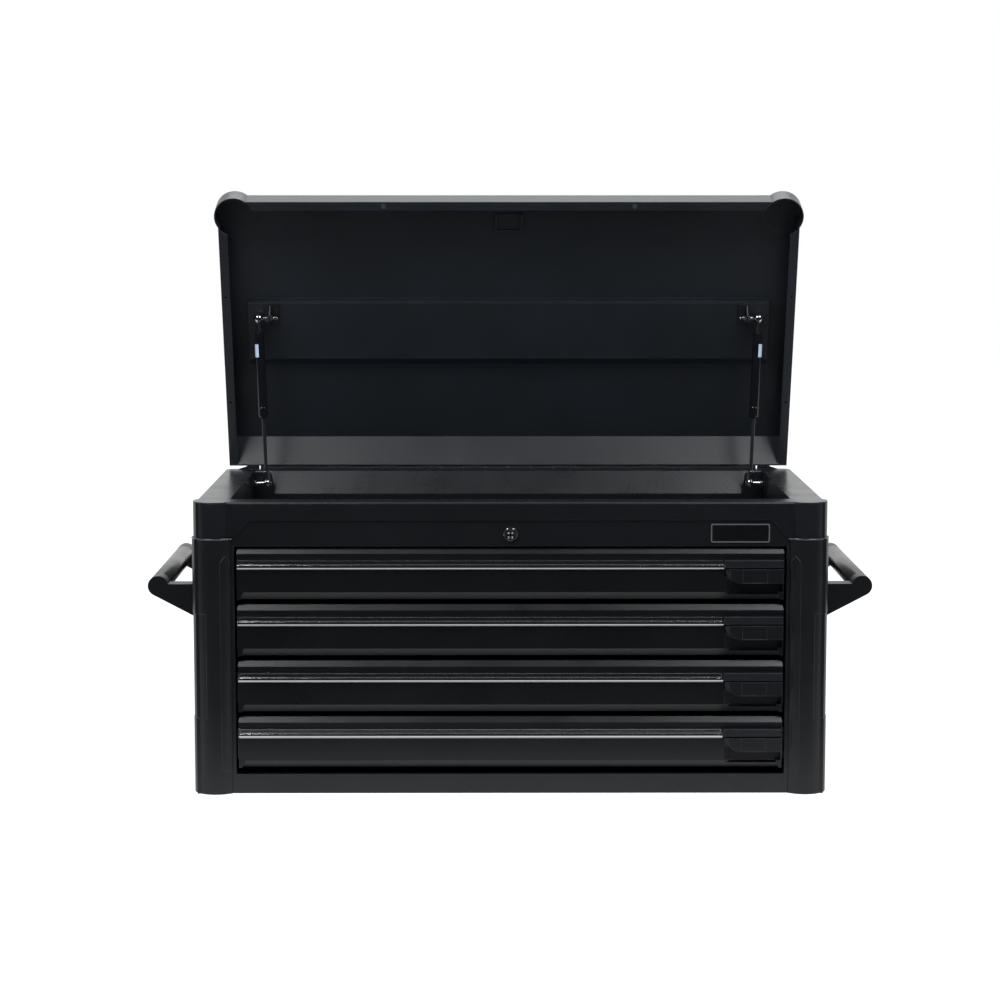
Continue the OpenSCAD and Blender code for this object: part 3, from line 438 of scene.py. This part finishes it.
def pair(name, body, mat, build):
    """The same piece at both sides: build(bm) fills in the right one, and the left one is its mirror image."""
    def build_left(bm):
        build(bm)
        for vert in bm.verts:
            vert.co.x = -vert.co.x

    piece(f"{name}_left", body, mat, build_left)
    piece(f"{name}_right", body, mat, build)


def between(start, end, steps):
    return [start + (end - start) * k / steps for k in range(steps + 1)]


def circle(centre, right, up, radius, turns):
    return [centre + (right * math.cos(a) + up * math.sin(a)) * radius
            for a in between(0, 2 * math.pi, turns)[:-1]]


def loft(bm, loops, smooth=False):
    """Skin through matching loops of points, closed with a face at each end."""
    ribs = [[bm.verts.new(point) for point in loop] for loop in loops]
    for first, second in zip(ribs, ribs[1:]):
        for k in range(len(first)):
            after = (k + 1) % len(first)
            bm.faces.new((first[k], first[after], second[after], second[k])).smooth = smooth
    bm.faces.new(ribs[0])
    bm.faces.new(ribs[-1])


def strip(bm, outline, y, thick):
    """Flat sheet with an outline in X and Z, from y backwards."""
    loft(bm, [[(x, depth, z) for x, z in outline] for depth in (y, y + thick)])


def turned(bm, start, direction, profile, turns):
    """Surface of revolution about a line: profile holds (distance along, radius) from end to end."""
    right = direction.orthogonal().normalized()
    up = direction.cross(right)
    loft(bm, [circle(start + direction * far, right, up, radius, turns) for far, radius in profile], smooth=True)


def square_to(direction, line):
    """The part of a direction that is square to a line, at unit length."""
    return (direction - line * direction.dot(line)).normalized()


# ---------- labels and crimp marks on the struts ----------

# the label's ends over the tube's foot, its thickness, and its span round the tube in degrees from outward
LABEL_LOW, LABEL_HIGH, LABEL_THICK = 0.096, 0.1165, 0.00012
LABEL_FROM, LABEL_TO, LABEL_STEPS = 4, 78, 12
# two marks at this height over the foot, at these angles from the front, just sunk into the tube
CRIMP_HIGH, CRIMP_R, CRIMP_SINK = 0.016, 0.0009, 0.0002
CRIMP_TURNS = (14, -24)


def label_on_tube(side):
    """Blank paper label round the outer front of a strut's cylinder."""
    low, up = strut_line(side)
    out = square_to(Vector((SIDES[side], 0, 0)), up)
    front = up.cross(out)
    if front.y > 0:
        front = -front
    t0, t1 = TUBE_FOOT + LABEL_LOW, TUBE_FOOT + LABEL_HIGH
    inner, outer = TUBE_R, TUBE_R + LABEL_THICK

    def build(bm):
        section = ((inner, t0), (outer, t0), (outer, t1), (inner, t1))
        angles = [math.radians(a) for a in between(LABEL_FROM, LABEL_TO, LABEL_STEPS)]
        loft(bm, [[low + up * t + (out * math.cos(a) + front * math.sin(a)) * r for r, t in section]
                  for a in angles])

    piece(f"strut_label_{side}", f"strut_cylinder_{side}", label_paper, build)


def crimps_on_tube(side):
    """Two small crimp marks near the foot of a cylinder, in bright zinc: the crimps with painted highlights."""
    low, up = strut_line(side)
    out = square_to(Vector((SIDES[side], 0, 0)), up)
    front = square_to(Vector((0, -1, 0)), up)
    for k, turn in enumerate(CRIMP_TURNS):
        toward = front * math.cos(math.radians(turn)) + out * math.sin(math.radians(turn))

        def build(bm):
            spot = low + up * (TUBE_FOOT + CRIMP_HIGH) + toward * (TUBE_R - CRIMP_SINK)
            bmesh.ops.create_uvsphere(bm, u_segments=16, v_segments=10, radius=CRIMP_R,
                                      matrix=Matrix.Translation(spot))

        # bright zinc on the black tube: painted highlights of the crimps
        piece(f"strut_crimp_{side}_{k + 1}", f"strut_cylinder_{side}", zinc, build)


for side in SIDES:
    label_on_tube(side)
    crimps_on_tube(side)


# ---------- strips at the back of the till ----------

# both start just over the till's floor
STRIP_FOOT, STRIP_THICK = 0.3699, 0.0012
# how far their front faces stand in front of the fold's foot
APRON_AHEAD, STIFFENER_AHEAD = 0.0002, 0.0016
STIFFENER_TOP = 0.4275


def apron(bm):
    """Wall under the till's leaning rear fold."""
    outline = [(-TILL_X, STRIP_FOOT), (TILL_X, STRIP_FOOT), (TILL_X, FOLD_FOOT_Z), (-TILL_X, FOLD_FOOT_Z)]
    strip(bm, outline, FOLD_FOOT_Y - APRON_AHEAD, STRIP_THICK)


def stiffener(bm):
    """Stiffener in a rear corner of the till, narrower at the top, with a clipped corner."""
    outline = [(TILL_X, STRIP_FOOT), (0.3715, STRIP_FOOT), (0.378, STIFFENER_TOP - 0.003),
               (0.3815, STIFFENER_TOP), (TILL_X, STIFFENER_TOP)]
    strip(bm, outline, FOLD_FOOT_Y - STIFFENER_AHEAD, STRIP_THICK)


piece("till_apron", "case", front_powder, apron)
pair("till_stiffener", "case", front_powder, stiffener)


# ---------- rounded upper edge of the corner sleeves ----------

# axis of the corner post in plan, the sleeve's outer radius round it, its flats and its top
SLEEVE_X, SLEEVE_Y, SLEEVE_R = 0.4295, -0.199, 0.033
SLEEVE_FRONT, SLEEVE_SIDE, SLEEVE_TOP = -0.224, 0.4565, 0.3753
# ends of the bead: on the front in X, and on the side in Y
BEAD_INNER, BEAD_BACK = (0.402, 0.4052), (-0.1765, -0.1655)
# radius of the bead, and how far its middle lies inside the sleeve's faces and top
BEAD_R, BEAD_INSET = 0.0013, 0.0006
BEAD_TURNS, BEAD_STEPS = 10, 26


def bead_path():
    """Points in plan, from the inner end in front, round the post and back along the side."""
    front, side = SLEEVE_FRONT - SLEEVE_Y, SLEEVE_SIDE - SLEEVE_X
    start = math.atan2(front, -math.sqrt(SLEEVE_R ** 2 - front ** 2))
    end = math.atan2(math.sqrt(SLEEVE_R ** 2 - side ** 2), side)
    round_r = SLEEVE_R - BEAD_INSET
    path = [(x, SLEEVE_FRONT + BEAD_INSET) for x in BEAD_INNER]
    path += [(SLEEVE_X + round_r * math.cos(a), SLEEVE_Y + round_r * math.sin(a))
             for a in between(start, end, BEAD_STEPS)]
    return path + [(SLEEVE_SIDE - BEAD_INSET, y) for y in BEAD_BACK]


def sleeve_bead(bm):
    path = [Vector((x, y, SLEEVE_TOP - BEAD_INSET)) for x, y in bead_path()]
    loops = []
    for k, point in enumerate(path):
        run = (path[min(k + 1, len(path) - 1)] - path[max(k - 1, 0)]).normalized()
        across = Vector((run.y, -run.x, 0))
        loops.append(circle(point, across, Vector((0, 0, 1)), BEAD_R, BEAD_TURNS))
    loft(bm, loops)
    for face in bm.faces:
        face.smooth = True


# the bead's light grey is a painted highlight along the sleeves' rounded top edge
pair("sleeve_bead", "case", bead_highlight, sleeve_bead)


# ---------- grips round the handle tubes ----------

# the grip fills the length between the two brackets and is as thick as their round ends
GRIP_X, GRIP_Z, GRIP_R = 0.516, 0.299, 0.0147
GRIP_HALF, GRIP_BEVEL = 0.148, 0.0012
GRIP_TURNS = 48


def grip(bm):
    half_profile = [(0, GRIP_R - GRIP_BEVEL), (GRIP_BEVEL * 0.4, GRIP_R - GRIP_BEVEL * 0.3), (GRIP_BEVEL, GRIP_R)]
    mirrored = [(2 * GRIP_HALF - far, radius) for far, radius in reversed(half_profile)]
    turned(bm, Vector((GRIP_X, -GRIP_HALF, GRIP_Z)), Vector((0, 1, 0)), half_profile + mirrored, GRIP_TURNS)


pair("handle_grip", "case", grip_satin, grip)


# ---------- soft step round the lid's rolled corners ----------

# centre of the rolled corner in plan, and the fillet's inner and outer radius round it
CORNER_X, CORNER_Y = 0.4255, -0.199
FILLET_NEAR, FILLET_FAR = 0.0301, 0.045
# the fillet stops earlier at this distance from the centre towards the side wall and the front wall
SIDE_ROOM, FRONT_ROOM = 0.0272, 0.0232
# its span in degrees
FILLET_FROM, FILLET_TO, FILLET_STEPS = 28.5, 227.5, 48
# heights over the lid's lower edge: the corner's inner face, the panel's inner face, and inside the panel
CORNER_FACE, PANEL_FACE, PANEL_INSIDE = 0.03598, 0.03677, 0.0372


def opened(x, y, height):
    """Place in the open lid of a point of the closed lid, given its height over the lid's lower edge."""
    dy, dz = y - HINGE_Y, LID_Z + height - HINGE_Z
    cos, sin = math.cos(LID_ANGLE), math.sin(LID_ANGLE)
    return Vector((x, HINGE_Y + dy * cos + dz * sin, HINGE_Z - dy * sin + dz * cos))


def corner_fillet(bm):
    """Shallow ring that runs from the rolled corner's inner face out to the lid's panel."""
    loops = []
    for a in (math.radians(degrees) for degrees in between(FILLET_FROM, FILLET_TO, FILLET_STEPS)):
        far = FILLET_FAR
        if math.cos(a) > 0:
            far = min(far, SIDE_ROOM / math.cos(a))
        if math.sin(a) < 0:
            far = min(far, FRONT_ROOM / -math.sin(a))
        section = ((FILLET_NEAR, CORNER_FACE), (far, PANEL_FACE), (far, PANEL_INSIDE), (FILLET_NEAR, PANEL_INSIDE))
        loops.append([opened(CORNER_X + r * math.cos(a), CORNER_Y + r * math.sin(a), h) for r, h in section])
    loft(bm, loops)


pair("lid_corner_fillet", "lid", lid_powder, corner_fillet)


# ---------- pin ends in the lock ----------

LOCK_FACE, LOCK_Z = -0.2245, 0.3813
PIN_SUNK, PIN_TURNS = 0.0004, 16
# places from the lock's axis, and the profile from the sunk foot to the tip
PIN_SPOTS = ((-0.0027, 0.0021), (0.0027, 0.0021), (-0.0027, -0.0036), (0.0027, -0.0036))
PIN_PROFILE = ((0, 0.0013), (0.0005, 0.0013), (0.0009, 0.001), (0.0011, 0.0005))


def lock_pins(bm):
    """Four bright pin ends in the face of the plug."""
    for x, dz in PIN_SPOTS:
        foot = Vector((x, LOCK_FACE + PIN_SUNK, LOCK_Z + dz))
        turned(bm, foot, Vector((0, -1, 0)), PIN_PROFILE, PIN_TURNS)


piece("lock_pins", "lock", pin_steel, lock_pins)


# ---------- raised edges of the rim beside the hinge ----------

LIP_Y, LIP_THICK = 0.2162, 0.0011
LIP_FOOT, LIP_TOP = 0.4315, 0.4356
# the inner end, and the outer end at the foot and at the top
LIP_X, LIP_FOOT_X, LIP_TOP_X = 0.4016, 0.4245, 0.4185


def back_lip(bm):
    outline = [(LIP_X, LIP_FOOT), (LIP_FOOT_X, LIP_FOOT), (LIP_TOP_X, LIP_TOP), (LIP_X, LIP_TOP)]
    strip(bm, outline, LIP_Y, LIP_THICK)


pair("rim_back_lip", "case", rim_powder, back_lip)


# ---------- stage ----------

# mirrored in the object, the paper is bright behind PAPER_FULL and fades out in front of the object at PAPER_END
PAPER_FULL, PAPER_END = -0.33, -0.66
MIRRORED_PAPER = 0.85
# what is left of the paper's and the sky's light where they fade out
DARK = 0.015
# to the camera the paper is near white by itself, and a lit share carries the object's shadow
PAPER_WHITE, PAPER_LIT = 0.82, 0.42
# to all other rays it is plain paper
PAPER_PLAIN = 0.8
FLOOR_REACH = 9


def stage_paper():
    """White studio paper: near white to the camera but for the object's soft shadow."""
    mat = bpy.data.materials.new("stage_paper")
    tree = blank_tree(mat)
    plain = add(tree, "BsdfDiffuse", {"Color": grey(PAPER_PLAIN)}).outputs[0]
    depth = add(tree, "SeparateXYZ", {0: add(tree, "NewGeometry").outputs["Position"]}).outputs["Y"]
    strength = fade(tree, depth, PAPER_END, PAPER_FULL, DARK, MIRRORED_PAPER)
    glow = add(tree, "Emission", {"Strength": strength}).outputs[0]
    white = add(tree, "Emission", {"Strength": PAPER_WHITE}).outputs[0]
    shaded = add(tree, "BsdfDiffuse", {"Color": grey(PAPER_LIT)}).outputs[0]
    seen = add(tree, "AddShader", {0: white, 1: shaded}).outputs[0]
    add(tree, "OutputMaterial", {"Surface": seen_by(tree, seen, glow, plain)})
    return mat


def stage_floor(mat):
    mesh = bpy.data.meshes.new("floor")
    corners = [(x * FLOOR_REACH, y * FLOOR_REACH, 0) for x, y in ((-1, -1), (1, -1), (1, 1), (-1, 1))]
    mesh.from_pydata(corners, [], [(0, 1, 2, 3)])
    mesh.materials.append(mat)
    obj = bpy.data.objects.new("floor", mesh)
    bpy.context.scene.collection.objects.link(obj)


stage_floor(stage_paper())


# ---------- world and lights ----------

# strength of the even light from all round
FILL = 0.62
# mirrored in the object, the sky is dark in front and white behind, by how far its direction points backwards
SKY_DARK, SKY_WHITE = -0.1, 0.35


def background(tree, strength):
    return add(tree, "Background", {"Color": grey(1.0), "Strength": strength}).outputs[0]


def studio_world():
    world = bpy.data.worlds.new("studio")
    tree = blank_tree(world)
    backward = add(tree, "SeparateXYZ", {0: add(tree, "TexCoord").outputs["Generated"]}).outputs["Y"]
    glossy = background(tree, fade(tree, backward, SKY_DARK, SKY_WHITE, DARK, 1.0))
    surface = seen_by(tree, background(tree, 1.0), glossy, background(tree, FILL))
    add(tree, "OutputWorld", {"Surface": surface})
    bpy.context.scene.world = world


def softbox(name, place, aim, size, power):
    light = bpy.data.lights.new(name, "AREA")
    light.shape = "RECTANGLE"
    light.size, light.size_y = size
    light.energy = power
    obj = bpy.data.objects.new(name, light)
    obj.location = place
    obj.rotation_euler = (Vector(aim) - Vector(place)).to_track_quat("-Z", "Y").to_euler()
    bpy.context.scene.collection.objects.link(obj)


studio_world()
for side, sign in SIDES.items():
    softbox(f"box_{side}", place=(sign * 1.36, -1.3, 2.7), aim=(0, 0, 0.4), size=(1.3, 0.9), power=36)
softbox("box_back", place=(0, 1.9, 2.8), aim=(0, 0, 0.6), size=(2.6, 0.8), power=24)


# ---------- camera ----------

CAMERA_PLACE = (-0.0294, -3.8211, 0.8705)
# how far it looks down and to the right, in degrees
CAMERA_DOWN, CAMERA_RIGHT = 6.955, 0.227

cam = bpy.data.cameras.new("camera")
cam.sensor_width = 36.0
cam.lens = 90.6
cam.clip_start, cam.clip_end = 0.1, 60
cam_obj = bpy.data.objects.new("camera", cam)
cam_obj.location = CAMERA_PLACE
cam_obj.rotation_euler = (math.radians(90 - CAMERA_DOWN), 0, math.radians(-CAMERA_RIGHT))
bpy.context.scene.collection.objects.link(cam_obj)
bpy.context.scene.camera = cam_obj
bpy.context.scene.view_settings.view_transform = "Standard"
